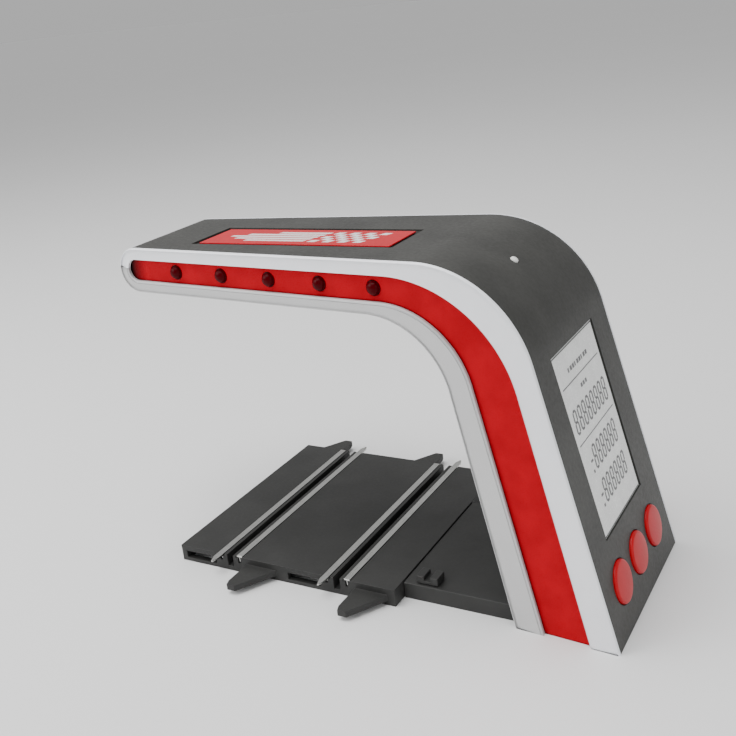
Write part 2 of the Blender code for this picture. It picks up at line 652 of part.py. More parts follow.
def build_battery_bay(bay):
    cover_look = ((0.04, 0.04, 0.038), 0.5)
    bottom = BAY_V[0] + 0.7 * MM
    top = BAY_V[1] - GAP
    hinge = Vector((INNER_WALL / 2, 0, COVER_HINGE_V))
    low = Vector((0, BAY_Y[0] + GAP, bottom)) - hinge
    high = Vector((INNER_WALL, BAY_Y[1] - GAP, top)) - hinge
    cover = box("battery_cover", low, high, cover_look, bay, hinge)
    screw_v = top - 6 * MM
    middle_y = (BAY_Y[0] + BAY_Y[1]) / 2
    hole = turned_cutter("cover_screw_hole", [(2.3 * MM, -1 * MM, 1.3 * MM, (0, middle_y, screw_v))],
                         "X", bay, 16)
    cut(cover, hole)
    turned("battery_cover_screw", [(2 * MM, 0.1 * MM), (2 * MM, 1 * MM)], "X",
           (0, middle_y, screw_v), STEEL, bay, 16)

    start = INNER_WALL + GAP
    tray_low = (start, BAY_Y[0] - 2 * MM, BAY_V[0] - 1.6 * MM)
    tray_high = (start + TRAY_DEPTH, BAY_Y[1] + 2 * MM, BAY_V[1] + 2 * MM)
    tray = box("battery_tray", tray_low, tray_high, ((0.05, 0.05, 0.05), 0.6), bay)
    inside = ((start - 1 * MM, tray_low[1] + TRAY_WALL, tray_low[2] + TRAY_WALL),
              (tray_high[0] - TRAY_WALL, tray_high[1] - TRAY_WALL, tray_high[2] - TRAY_WALL))
    cut(tray, box_cutter("tray_inside", [inside], bay))
    first_y = middle_y - CELL_LENGTH / 2
    cap = 1.2 * MM
    for number, v in enumerate(CELL_V, 1):
        profile = [(CELL_RADIUS, 0), (CELL_RADIUS, CELL_LENGTH - cap), (2.7 * MM, CELL_LENGTH - cap),
                   (2.7 * MM, CELL_LENGTH)]
        turned(f"battery_{number}", profile, "Y", (CELL_W, first_y, v),
               ((0.25, 0.26, 0.28), 0.35, 0.4), bay, 20)
    for name, y in (("left", inside[0][1] + GAP), ("right", inside[1][1] - GAP - 0.5 * MM)):
        box(f"battery_contact_{name}", (CELL_W - 5 * MM, y, CELL_V[0] - 5 * MM),
            (CELL_W + 5 * MM, y + 0.5 * MM, CELL_V[-1] + 5 * MM), STEEL, bay)


def build_speaker_and_switch(bay):
    start = INNER_WALL + GAP
    turned("speaker", [(SPEAKER_RADIUS, start), (SPEAKER_RADIUS, start + 2.5 * MM),
                       (6 * MM, start + 5 * MM)], "X", (0, SPEAKER_Y, SPEAKER_V),
           ((0.08, 0.08, 0.08), 0.4, 0.4), bay, 24)
    knob_y = SWITCH_Y - SWITCH_TRAVEL / 2
    bm = bmesh.new()
    add_box(bm, (start, -4.5 * MM, -3 * MM), (start + 0.8 * MM, 4.5 * MM, 3 * MM))
    plate = finish("power_switch_knob", bm, ((0.03, 0.03, 0.03), 0.5), bay, (0, knob_y, SWITCH_V))
    bm = bmesh.new()
    add_box(bm, (-1.2 * MM, -2.5 * MM, -1.6 * MM), (start + 0.4 * MM, 2.5 * MM, 1.6 * MM))
    join(plate, finish("knob_grip", bm, None, bay, (0, knob_y, SWITCH_V)))
    body = start + 0.8 * MM + GAP
    box("power_switch_body", (body, SWITCH_Y - 8 * MM, SWITCH_V - 4 * MM),
        (body + 4 * MM, SWITCH_Y + 8 * MM, SWITCH_V + 4 * MM), ((0.5, 0.5, 0.5), 0.4, 0.7), bay)


# ---------------------------------------------------------------- base

def build_base(parent):
    inner_edge = outer_foot_x() - (OUTER_WALL + GAP) / cos(OUTER_LEAN)
    outline = [(TRACK_WIDTH + GAP, 0), (inner_edge, 0),
               (inner_edge - BASE_FLOOR * tan(OUTER_LEAN), BASE_FLOOR),
               (BASE_STEP_X, BASE_FLOOR), (BASE_STEP_X, BASE_TOP), (TRACK_WIDTH + GAP, BASE_TOP)]
    base = prism("base_plate", outline, lambda x: BASE_FRONT, lambda x: BASE_BACK,
                 ((0.03, 0.03, 0.029), 0.55), parent, smooth=False)
    spots = [(x, y) for x in (176 * MM, 198 * MM) for y in (14 * MM, 76 * MM)]
    holes = [(3.3 * MM, -1 * MM, 1.6 * MM, (x, y, 0)) for x, y in spots]
    cut(base, turned_cutter("base_screw_holes", holes, "Z", parent, 16))
    for number, (x, y) in enumerate(spots, 1):
        turned(f"base_screw_{number}", [(3 * MM, 0.2 * MM), (3 * MM, 1.3 * MM)], "Z",
               (x, y, 0), STEEL, parent, 16)

    left, front, top = 120 * MM, 9 * MM, BASE_TOP + GAP
    socket = box("barrier_socket", (left, front, top), (left + 10 * MM, front + 7 * MM, top + 3.5 * MM),
                 ((0.05, 0.05, 0.048), 0.5), parent)
    slot = ((left + 3.6 * MM, front - 1 * MM, top + 1.5 * MM),
            (left + 6.4 * MM, front + 8 * MM, top + 5 * MM))
    cut(socket, box_cutter("socket_slot", [slot], parent))


def build_underside(parent):
    for number, x in enumerate(LANES, 1):
        turned(f"lane_sensor_{number}", [(SENSOR_RADIUS, 0.2 * MM), (SENSOR_RADIUS, 4.5 * MM)], "Z",
               (x, ARCH_CENTRE_Y, UNDERSIDE), ((0.02, 0.0, 0.02), 0.1), parent, 16)
    for number, (x, y) in enumerate(shell_screw_places(), 1):
        turned(f"shell_screw_{number}", [(1.9 * MM, 0.2 * MM), (1.9 * MM, 1.1 * MM)], "Z",
               (x, y, UNDERSIDE), STEEL, parent, 12)


def main():
    clear_scene()
    middle_x = (NOSE_X - NOSE_RADIUS + outer_foot_x()) / 2
    origin = empty("origin", (-middle_x, -TRACK_LENGTH / 2, 0))
    control = empty("control_face", (outer_foot_x(), 0, 0), -OUTER_LEAN, origin)
    bay = empty("inner_face", (inner_foot_x(), 0, 0), -INNER_LEAN, origin)
    top_seat = empty("sloping_top", (NOSE_X, 0, NOSE_TOP), -TOP_SLOPE, origin)
    bpy.context.view_layer.update()
    build_track(origin)
    build_shells(origin, control, bay, top_seat)
    build_frames(origin)
    build_bands(origin)
    build_lamps(origin)
    build_top(top_seat)
    build_status_lamp(origin, bpy.data.objects["outer_shell"])
    build_display(control)
    build_buttons(control)
    build_battery_bay(bay)
    build_speaker_and_switch(bay)
    build_base(origin)
    build_underside(origin)


main()
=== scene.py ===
"""Looks of the slot car lap counter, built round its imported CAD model.

Metres, +Z up, in the frame of the CAD. The pieces that show are built again
with rounded edges and fine detail; the bands and the hidden pieces keep their
CAD shape. Every surface gets a procedural material.
"""

from math import atan, cos, pi, radians, sin, tan

import bmesh
import bpy
from mathutils import Matrix, Vector


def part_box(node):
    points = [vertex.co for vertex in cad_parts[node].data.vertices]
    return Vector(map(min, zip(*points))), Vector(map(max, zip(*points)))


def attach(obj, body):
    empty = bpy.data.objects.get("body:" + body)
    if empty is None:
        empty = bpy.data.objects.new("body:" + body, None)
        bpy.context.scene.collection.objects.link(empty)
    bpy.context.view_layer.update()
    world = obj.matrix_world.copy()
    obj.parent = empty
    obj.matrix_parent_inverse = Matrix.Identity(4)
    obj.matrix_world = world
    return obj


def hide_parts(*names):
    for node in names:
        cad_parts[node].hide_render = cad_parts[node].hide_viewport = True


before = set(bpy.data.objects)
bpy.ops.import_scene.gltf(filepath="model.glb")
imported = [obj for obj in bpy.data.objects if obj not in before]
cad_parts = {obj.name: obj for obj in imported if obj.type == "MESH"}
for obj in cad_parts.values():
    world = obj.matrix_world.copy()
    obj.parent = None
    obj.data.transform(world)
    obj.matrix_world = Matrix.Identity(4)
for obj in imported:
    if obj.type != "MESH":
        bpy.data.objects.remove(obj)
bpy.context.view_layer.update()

MM = 0.001

# Driving dimensions, the same as the CAD's
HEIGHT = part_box("outer_shell")[1].z
UNDERSIDE = 127 * MM
TONGUE_LENGTH = 17 * MM
TRACK_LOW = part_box("track_bed")[0] + Vector((0, TONGUE_LENGTH, 0))
ARCH_CENTRE_Y = 45 * MM
ARCH_END_WIDTH = 57 * MM
ARCH_TAPER = 0.147
GAP = 0.3 * MM
LANES = (28.5 * MM, 85.5 * MM)

# Arch profile
NOSE_X = -11.4 * MM
NOSE_TOP = 147.2 * MM
NOSE_RADIUS = (NOSE_TOP - UNDERSIDE) / 2
NOSE_Z = (NOSE_TOP + UNDERSIDE) / 2
OUTER_BEND_X, OUTER_RADIUS, OUTER_LEAN = 132.5 * MM, 48 * MM, radians(15)
INNER_BEND_X, INNER_RADIUS, INNER_LEAN = 109 * MM, 36 * MM, radians(12.5)
TOP_SLOPE = atan((HEIGHT - NOSE_TOP) / (OUTER_BEND_X - NOSE_X))
BAND_TOP, BAND_NOSE_TOP, BAND_LOW = 142.9 * MM, 142 * MM, 132.3 * MM
BAND_OUT_BEND_X, BAND_OUT_RADIUS, BAND_OUT_LEAN = 119 * MM, 55 * MM, radians(14)
BAND_IN_BEND_X, BAND_IN_RADIUS, BAND_IN_LEAN = 115.5 * MM, 39.5 * MM, radians(13.5)
BAND_END_RADIUS = (BAND_NOSE_TOP - BAND_LOW) / 2
BAND_MIDDLE = (BAND_NOSE_TOP + BAND_LOW) / 2
SEAM_ANGLE = radians(172)
SEAM_HALF = GAP / 2 / NOSE_RADIUS
BEND_STEPS = 36
NOSE_STEPS = 16
FRAME_DEPTH = 1.4 * MM
FACE_ROUNDING = 0.6 * MM      # of a frame's edge beside the dark skin
BAND_SIDE_ROUNDING = 0.25 * MM
BAND_RECESS = FRAME_DEPTH + GAP
BAND_PAINTED_SHADE_END = 15.5 * MM     # from the track's edge to where the painted shade at the band's free end starts to give way to red
BAND_SHADE_FADE = 9 * MM

# Lamps, display, buttons and sensors
LAMP_RADIUS, LAMP_DOME = 3 * MM, 2.3 * MM
STATUS_LAMP_Y, STATUS_LAMP_ANGLE = 42 * MM, radians(33)
SENSOR_RADIUS = 3.2 * MM
BUTTON_Y = {"left": 22 * MM, "middle": 45 * MM, "right": 68 * MM}
BUTTON_V, BUTTON_RADIUS, BUTTON_PROUD = 19.5 * MM, 8.8 * MM, 1.6 * MM
DISPLAY_Y = (19.8 * MM, 68.2 * MM)
DISPLAY_V = (38.8 * MM, 113.7 * MM)
DISPLAY_W = -0.5 * MM
DISPLAY_CLEARANCE = 0.005 * MM  # between the display's face and its marks
DIGIT_WIDTH, DIGIT_HEIGHT, DIGIT_PITCH = 3.9 * MM, 10 * MM, 5.05 * MM
DIGIT_STROKE, DIGIT_LEAN = 0.27, 0.06   # stroke as a share of a digit's width
PRINT = 0.04 * MM             # thickness of a printed or lit mark

# Top plate, on the sloping top
PLATE_X, PLATE_Y = (16.5 * MM, 111.5 * MM), (29 * MM, 53 * MM)
PLATE_FACE = -0.1 * MM
PLATE_SLANT = 0.45            # of the print, as movement along the plate for each unit across

# Battery bay
CELL_RADIUS, CELL_LENGTH = 7.1 * MM, 50.5 * MM
CELL_V = (25.4 * MM, 41 * MM, 56.6 * MM)
CELL_W = 11.5 * MM
BAY_MIDDLE_Y = 45 * MM
CONTACT_FACE_Y = 16.15 * MM   # of the plate that the springs stand on
SPRING_TURNS, SPRING_STEPS, SPRING_WIRE = 3.5, 84, 0.35 * MM
WIRE_SIDES = 8

# Switch and speaker, on the inner face
SWITCH_V = 84 * MM
SPEAKER_Y, SPEAKER_V = 56 * MM, 84 * MM

# Camera, in the photograph's place
CAMERA_AZIMUTH, CAMERA_ELEVATION, CAMERA_ROLL = radians(31.03), radians(20.46), radians(-6.25)
CAMERA_DISTANCE = 464.4 * MM
CAMERA_AIM = (78.5 * MM, 57.5 * MM, 83.05 * MM)
CAMERA_LENS = 49.9


def outer_foot_x():
    bend_end_z = HEIGHT - OUTER_RADIUS + OUTER_RADIUS * sin(OUTER_LEAN)
    return OUTER_BEND_X + OUTER_RADIUS * cos(OUTER_LEAN) + bend_end_z * tan(OUTER_LEAN)


def inner_foot_x():
    bend_end_z = UNDERSIDE - INNER_RADIUS + INNER_RADIUS * sin(INNER_LEAN)
    return INNER_BEND_X + INNER_RADIUS * cos(INNER_LEAN) + bend_end_z * tan(INNER_LEAN)


def front_y(x):
    return ARCH_CENTRE_Y - (ARCH_END_WIDTH + ARCH_TAPER * (x - NOSE_X)) / 2


def back_y(x):
    return 2 * ARCH_CENTRE_Y - front_y(x)


# Frames of reference: the track's corner, the control face and the inner face
TRACK = Matrix.Translation(TRACK_LOW)
CONTROL = TRACK @ Matrix.Translation((outer_foot_x(), 0, 0)) @ Matrix.Rotation(-OUTER_LEAN, 4, "Y")
SLOPING_TOP = TRACK @ Matrix.Translation((NOSE_X, 0, NOSE_TOP)) @ Matrix.Rotation(-TOP_SLOPE, 4, "Y")
INNER = TRACK @ Matrix.Translation((inner_foot_x(), 0, 0)) @ Matrix.Rotation(-INNER_LEAN, 4, "Y")


# ---------------------------------------------------------------- materials

def add_node(tree, kind, inputs=(), **settings):
    """A node with its settings, and its inputs as values or as other nodes' outputs."""
    made = tree.nodes.new(kind)
    for key, value in settings.items():
        setattr(made, key, value)
    for key, value in dict(inputs).items():
        if isinstance(value, bpy.types.NodeSocket):
            tree.links.new(value, made.inputs[key])
        else:
            made.inputs[key].default_value = value
    return made


def new_look(name, **sockets):
    """A material, its node tree and its Principled shader, with fixed socket values set."""
    made = bpy.data.materials.new(name)
    made.use_nodes = True
    tree = made.node_tree
    shader = tree.nodes["Principled BSDF"]
    for key, value in sockets.items():
        shader.inputs[key.replace("_", " ")].default_value = value
    return made, tree, shader


def place_of(tree, stretch=(1, 1, 1)):
    """The piece's own coordinates in metres, stretched."""
    source = add_node(tree, "ShaderNodeTexCoord").outputs["Object"]
    return add_node(tree, "ShaderNodeMapping", {"Vector": source, "Scale": stretch}).outputs[0]


def noise(tree, size, detail=3.0, stretch=(1, 1, 1)):
    """Noise whose features are about size metres across."""
    made = add_node(tree, "ShaderNodeTexNoise",
                    {"Vector": place_of(tree, stretch), "Scale": 1 / size, "Detail": detail})
    return made.outputs["Fac"]


def remap(tree, value, low, high, to_low=0.0, to_high=1.0):
    made = add_node(tree, "ShaderNodeMapRange",
                    {"Value": value, "From Min": low, "From Max": high,
                     "To Min": to_low, "To Max": to_high})
    return made.outputs["Result"]


def blend(tree, factor, first, second):
    """Mixes two colours, each a triple or another node's output."""
    made = tree.nodes.new("ShaderNodeMix")
    made.data_type = "RGBA"
    sockets = (made.inputs[0], made.inputs[6], made.inputs[7])
    for socket, value in zip(sockets, (factor, first, second)):
        if isinstance(value, bpy.types.NodeSocket):
            tree.links.new(value, socket)
        elif isinstance(value, tuple):
            socket.default_value = (*value, 1.0)
        else:
            socket.default_value = value
    return made.outputs[2]


def multiply(tree, first, second):
    return add_node(tree, "ShaderNodeMath", {0: first, 1: second}, operation="MULTIPLY").outputs[0]


def add_bump(tree, shader, height, distance):
    made = add_node(tree, "ShaderNodeBump", {"Height": height, "Distance": distance, "Strength": 1.0})
    tree.links.new(made.outputs["Normal"], shader.inputs["Normal"])


def moulded_plastic(name, colour, roughness, grain=0.14 * MM, depth=0.012 * MM, worn=1.5):
    """Satin moulding: fine spark-eroded grain, slight mottling, paler rubbed edges."""
    made, tree, shader = new_look(name, Specular_IOR_Level=0.3)
    fine = noise(tree, grain, 2.0)
    cloudy = noise(tree, 18 * MM, 4.0)
    dusty = noise(tree, 1.6 * MM, 5.0)
    dark = tuple(c * 0.86 for c in colour)
    light = tuple(min(1, c * 1.16) for c in colour)
    base = blend(tree, remap(tree, cloudy, 0.35, 0.65), dark, light)
    edge = add_node(tree, "ShaderNodeNewGeometry").outputs["Pointiness"]
    rubbed = multiply(tree, remap(tree, edge, 0.53, 0.62), remap(tree, dusty, 0.35, 0.7))
    pale = tuple(min(1, c * worn + 0.01) for c in colour)
    base = blend(tree, multiply(tree, rubbed, 0.5), base, pale)
    tree.links.new(base, shader.inputs["Base Color"])
    uneven = remap(tree, dusty, 0.3, 0.7, roughness - 0.05, roughness + 0.06)
    tree.links.new(uneven, shader.inputs["Roughness"])
    add_bump(tree, shader, fine, depth)
    return made


def silver_paint(name, colour, roughness, metal):
    """Sprayed silver: tiny flakes, faint orange peel."""
    made, tree, shader = new_look(name, Metallic=metal, Coat_Weight=0.25, Coat_Roughness=0.2)
    flakes = add_node(tree, "ShaderNodeTexVoronoi",
                      {"Vector": place_of(tree), "Scale": 1 / (0.09 * MM)})
    glint = remap(tree, flakes.outputs["Distance"], 0.0, 0.9)
    cloudy = noise(tree, 12 * MM, 3.0)
    light = tuple(min(1, c * 1.05) for c in colour)
    dark = tuple(c * 0.93 for c in colour)
    base = blend(tree, glint, light, dark)
    base = blend(tree, remap(tree, cloudy, 0.4, 0.8, 0, 0.35), base, tuple(c * 0.9 for c in colour))
    tree.links.new(base, shader.inputs["Base Color"])
    tree.links.new(remap(tree, glint, 0, 1, roughness - 0.04, roughness + 0.05),
                   shader.inputs["Roughness"])
    add_bump(tree, shader, noise(tree, 0.9 * MM, 2.0), 0.008 * MM)
    return made


def band_lens():
    """Red strip: painted shade makes it black at the free end and darker beside the walls of its
    recess.
    """
    made, tree, shader = new_look("red_lens", Specular_IOR_Level=0.05)
    along = add_node(tree, "ShaderNodeSeparateXYZ", {"Vector": place_of(tree)}).outputs["X"]
    # Painted shade: the band is near black at its free end and fades to red along X
    start = TRACK_LOW.x - BAND_PAINTED_SHADE_END
    free_end_shade = remap(tree, along, start, start + BAND_SHADE_FADE)
    cloudy = noise(tree, 9 * MM, 2.0)
    lit = blend(tree, remap(tree, cloudy, 0.35, 0.65), (0.38, 0.0, 0.007), (0.45, 0.0, 0.009))
    # Painted shade: ambient occlusion blends the band to near black beside the walls of its recess
    corner = add_node(tree, "ShaderNodeAmbientOcclusion", {"Distance": 1.6 * MM}).outputs["AO"]
    open_to_light = remap(tree, corner, 0.35, 0.8)
    lit = blend(tree, open_to_light, (0.02, 0.0, 0.001), lit)
    tree.links.new(blend(tree, free_end_shade, (0.006, 0.002, 0.002), lit), shader.inputs["Base Color"])
    tree.links.new(remap(tree, noise(tree, 0.5 * MM), 0.3, 0.7, 0.24, 0.34), shader.inputs["Roughness"])
    add_bump(tree, shader, noise(tree, 0.6 * MM, 2.0), 0.005 * MM)
    return made


def brushed_metal(name, colour, roughness, stretch, size=0.25 * MM, tarnish=0.75):
    """Metal drawn along one axis, with faint tarnish."""
    made, tree, shader = new_look(name, Metallic=1.0)
    streaks = noise(tree, size, 4.0, stretch)
    spots = noise(tree, 4 * MM, 5.0)
    base = blend(tree, remap(tree, streaks, 0.3, 0.7), tuple(c * 0.82 for c in colour), colour)
    base = blend(tree, remap(tree, spots, 0.5, 0.75, 0, 0.6), base, tuple(c * tarnish for c in colour))
    tree.links.new(base, shader.inputs["Base Color"])
    tree.links.new(remap(tree, streaks, 0.25, 0.75, roughness - 0.08, roughness + 0.1),
                   shader.inputs["Roughness"])
    add_bump(tree, shader, streaks, 0.006 * MM)
    return made


def glossy_plastic(name, colour, roughness, coat=0.0, gloss=0.3, ripple=0.004 * MM):
    """Smooth bright moulding with a faint flow pattern and small scuffs."""
    made, tree, shader = new_look(name, Coat_Weight=coat, Coat_Roughness=0.06,
                                  Specular_IOR_Level=gloss)
    flow = noise(tree, 7 * MM, 3.0)
    scuffs = noise(tree, 0.8 * MM, 4.0)
    base = blend(tree, remap(tree, flow, 0.3, 0.7), tuple(c * 0.93 for c in colour),
                 tuple(min(1, c * 1.04) for c in colour))
    tree.links.new(base, shader.inputs["Base Color"])
    tree.links.new(remap(tree, scuffs, 0.35, 0.75, roughness - 0.02, roughness + 0.05),
                   shader.inputs["Roughness"])
    add_bump(tree, shader, noise(tree, 1.2 * MM, 2.0), ripple)
    return made


def printed(name, colour, roughness=0.4):
    """Ink: slightly uneven, with a very fine screen."""
    made, tree, shader = new_look(name)
    cells = add_node(tree, "ShaderNodeTexVoronoi",
                     {"Vector": place_of(tree), "Scale": 1 / (0.18 * MM)})
    screen = remap(tree, cells.outputs["Distance"], 0.2, 0.8)
    tree.links.new(blend(tree, screen, colour, tuple(c * 0.88 for c in colour)),
                   shader.inputs["Base Color"])
    tree.links.new(remap(tree, noise(tree, 2 * MM), 0.3, 0.7, roughness - 0.06, roughness + 0.08),
                   shader.inputs["Roughness"])
    return made


def circuit_board():
    """Green lacquer over a net of copper tracks."""
    made, tree, shader = new_look("green_board", Coat_Weight=0.4)
    bricks = add_node(tree, "ShaderNodeTexBrick",
                      {"Vector": place_of(tree), "Scale": 60.0, "Mortar Size": 0.012,
                       "Color1": (1, 1, 1, 1), "Color2": (0.8, 0.8, 0.8, 1), "Mortar": (0, 0, 0, 1)})
    base = blend(tree, bricks.outputs["Fac"], (0.012, 0.10, 0.035), (0.05, 0.22, 0.08))
    speckle = remap(tree, noise(tree, 0.4 * MM), 0.35, 0.65, 0, 0.3)
    tree.links.new(blend(tree, speckle, base, (0.01, 0.06, 0.02)), shader.inputs["Base Color"])
    tree.links.new(remap(tree, noise(tree, 3 * MM), 0.3, 0.7, 0.32, 0.5), shader.inputs["Roughness"])
    add_bump(tree, shader, bricks.outputs["Fac"], 0.03 * MM)
    return made


def ribbon_cable():
    """Grey ribbon: parallel insulated wires side by side, with painted shade in the grooves between
    them.
    """
    made, tree, shader = new_look("ribbon_grey")
    waves = add_node(tree, "ShaderNodeTexWave",
                     {"Vector": place_of(tree), "Scale": 1 / (6.3 * MM), "Distortion": 0.0},
                     bands_direction="Y")
    ridge = waves.outputs["Fac"]
    dirty = remap(tree, noise(tree, 3 * MM), 0.3, 0.7, 0.0, 0.3)
    # Painted shade: the grooves between the wires are darker grey and the crests lighter
    base = blend(tree, ridge, (0.30, 0.30, 0.29), (0.55, 0.55, 0.53))
    tree.links.new(blend(tree, dirty, base, (0.35, 0.33, 0.30)), shader.inputs["Base Color"])
    tree.links.new(remap(tree, ridge, 0, 1, 0.55, 0.4), shader.inputs["Roughness"])
    add_bump(tree, shader, ridge, 0.1 * MM)
    return made


LOOKS = {
    "shell": moulded_plastic("anthracite_moulding", (0.036, 0.036, 0.033), 0.43),
    "inner": moulded_plastic("inner_moulding", (0.030, 0.030, 0.028), 0.48),
    "cover": moulded_plastic("cover_moulding", (0.034, 0.034, 0.032), 0.5, grain=0.2 * MM),
    "track": moulded_plastic("track_moulding", (0.026, 0.026, 0.025), 0.5, grain=0.22 * MM,
                             depth=0.025 * MM),
    "tray": moulded_plastic("tray_moulding", (0.045, 0.045, 0.043), 0.55),
    # Painted light: both frames carry one silver paint, the upper copy painted lighter as lit and the
    # lower copy darker as shaded
    "silver_top_lit": silver_paint("silver_paint_lit", (0.92, 0.93, 0.97), 0.34, 0.1),
    "silver_low_shaded": silver_paint("silver_paint_shaded", (0.56, 0.56, 0.56), 0.38, 0.35),
    "band": band_lens(),
    "lamp": glossy_plastic("lamp_red", (0.06, 0.0, 0.002), 0.12, gloss=0.06),
    "steel": brushed_metal("drawn_steel", (0.60, 0.60, 0.58), 0.3, (1, 0.03, 1)),
    "screw": brushed_metal("screw_steel", (0.50, 0.50, 0.49), 0.32, (1, 1, 1), 0.5 * MM),
    "nickel": brushed_metal("nickel", (0.66, 0.64, 0.58), 0.25, (1, 1, 0.1), 0.4 * MM),
    "display": glossy_plastic("display_face", (0.80, 0.81, 0.80), 0.25, ripple=0.001 * MM),
    "ink": printed("display_ink", (0.10, 0.10, 0.105), 0.35),
    "outline": printed("display_outline", (0.03, 0.03, 0.03), 0.35),
    "plate": glossy_plastic("plate_red", (0.50, 0.001, 0.010), 0.34, gloss=0.2),
    "white": printed("plate_white", (0.82, 0.81, 0.80), 0.35),
    "button": glossy_plastic("button_red", (0.50, 0.001, 0.008), 0.3, gloss=0.2),
    "dot": glossy_plastic("lamp_white", (0.80, 0.80, 0.77), 0.2, coat=0.8),
    "sensor": glossy_plastic("sensor_window", (0.018, 0.004, 0.012), 0.08, coat=1.0),
    "board": circuit_board(),
    "ribbon": ribbon_cable(),
    "rubber": moulded_plastic("conductive_rubber", (0.42, 0.18, 0.24), 0.6),
    "pad": printed("carbon_pad", (0.03, 0.03, 0.03), 0.5),
    "lcd": glossy_plastic("lcd_glass", (0.50, 0.54, 0.47), 0.12, coat=0.6),
    "sleeve": glossy_plastic("cell_sleeve", (0.045, 0.07, 0.13), 0.28, coat=0.3),
    "sleeve_band": glossy_plastic("cell_band", (0.50, 0.36, 0.12), 0.28, coat=0.3),
    "cone": moulded_plastic("speaker_cone", (0.03, 0.03, 0.03), 0.7, grain=0.5 * MM),
}


# ---------------------------------------------------------------- mesh helpers

def finish(name, bm, look, body, where=TRACK, replaces=(), sharp=32, smooth=True):
    """Turns a bmesh into a piece of the model that rides on a body."""
    bmesh.ops.recalc_face_normals(bm, faces=bm.faces)
    bm.transform(where)
    mesh = bpy.data.meshes.new(name)
    bm.to_mesh(mesh)
    bm.free()
    if smooth:
        mesh.shade_smooth()
        mesh.set_sharp_from_angle(angle=radians(sharp))
    piece = bpy.data.objects.new(name, mesh)
    bpy.context.scene.collection.objects.link(piece)
    mesh.materials.append(LOOKS[look])
    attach(piece, body)
    if replaces:
        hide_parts(*replaces)
    return piece


def weigh_normals(piece):
    """Keeps flat faces flat beside small roundings."""
    step = piece.modifiers.new("even_shading", "WEIGHTED_NORMAL")
    step.keep_sharp = True


def round_edges(piece, width, segments=2):
    """Rounds every edge that turns by more than 30 degrees."""
    step = piece.modifiers.new("rounded_edges", "BEVEL")
    step.width = width
    step.segments = segments
    step.limit_method = "ANGLE"
    step.angle_limit = radians(30)
    step.miter_outer = "MITER_ARC"
    weigh_normals(piece)


def refine(node, look, body, width=0.3 * MM, segments=2, merged=True):
    """Builds a CAD node again with rounded edges.

    Its flat facets are merged first, except on a face crossed by many slots.
    """
    bm = bmesh.new()
    bm.from_mesh(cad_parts[node].data)
    bmesh.ops.remove_doubles(bm, verts=bm.verts, dist=0.001 * MM)
    if merged:
        bmesh.ops.dissolve_limit(bm, angle_limit=radians(0.6), verts=bm.verts, edges=bm.edges)
    piece = finish(f"{node}_detailed", bm, look, body, Matrix.Identity(4), [node], sharp=60)
    round_edges(piece, width, segments)


def add_turned(bm, profile, segments, turn):
    """Turns (radius, height) pairs about Z, then applies a matrix. A zero radius closes an end."""
    rings = []
    for radius, height in profile:
        if radius == 0:
            rings.append([bm.verts.new(turn @ Vector((0, 0, height)))])
            continue
        ring = []
        for i in range(segments):
            angle = 2 * pi * i / segments
            point = Vector((radius * cos(angle), radius * sin(angle), height))
            ring.append(bm.verts.new(turn @ point))
        rings.append(ring)
    for ring, following in zip(rings, rings[1:]):
        for i in range(segments):
            j = (i + 1) % segments
            if len(ring) == 1:
                bm.faces.new((ring[0], following[i], following[j]))
            elif len(following) == 1:
                bm.faces.new((ring[i], ring[j], following[0]))
            else:
                bm.faces.new((ring[i], ring[j], following[j], following[i]))
    for ring in (rings[0], rings[-1]):
        if len(ring) > 1:
            bm.faces.new(ring)


def add_box(bm, low, high):
    size = Vector(high) - Vector(low)
    middle = (Vector(high) + Vector(low)) / 2
    place = Matrix.Translation(middle) @ Matrix.Diagonal((*size, 1))
    bmesh.ops.create_cube(bm, size=1, matrix=place)


def add_slab(bm, outline, lift, face):
    """A thin closed slab over a flat outline. face(u, v, height) gives a point."""
    low = [bm.verts.new(face(u, v, 0)) for u, v in outline]
    high = [bm.verts.new(face(u, v, lift)) for u, v in outline]
    bm.faces.new(list(reversed(low)))
    bm.faces.new(high)
    for i in range(len(outline)):
        j = (i + 1) % len(outline)
        bm.faces.new((low[i], low[j], high[j], high[i]))


TURN_X = Matrix.Rotation(pi / 2, 4, "Y")
TURN_INTO_Y = Matrix.Rotation(-pi / 2, 4, "X")


# ---------------------------------------------------------------- silver frames

def bent_line(top, bend_x, radius, lean, drop=0.0):
    """Along the top, which starts lower by drop, round the bend and down to the ground."""
    points = [(NOSE_X, top - drop)]
    for i in range(BEND_STEPS + 1):
        angle = (pi / 2 - lean) * i / BEND_STEPS
        points.append((bend_x + radius * sin(angle), top - radius + radius * cos(angle)))
    x, z = points[-1]
    points.append((x + z * tan(lean), 0))
    return points


def nose_arc(radius, middle_z, start, end):
    """Points round the free end, up to but not at the end angle."""
    steps = [start + (end - start) * i / NOSE_STEPS for i in range(NOSE_STEPS)]
    return [(NOSE_X + radius * cos(a), middle_z + radius * sin(a)) for a in steps]


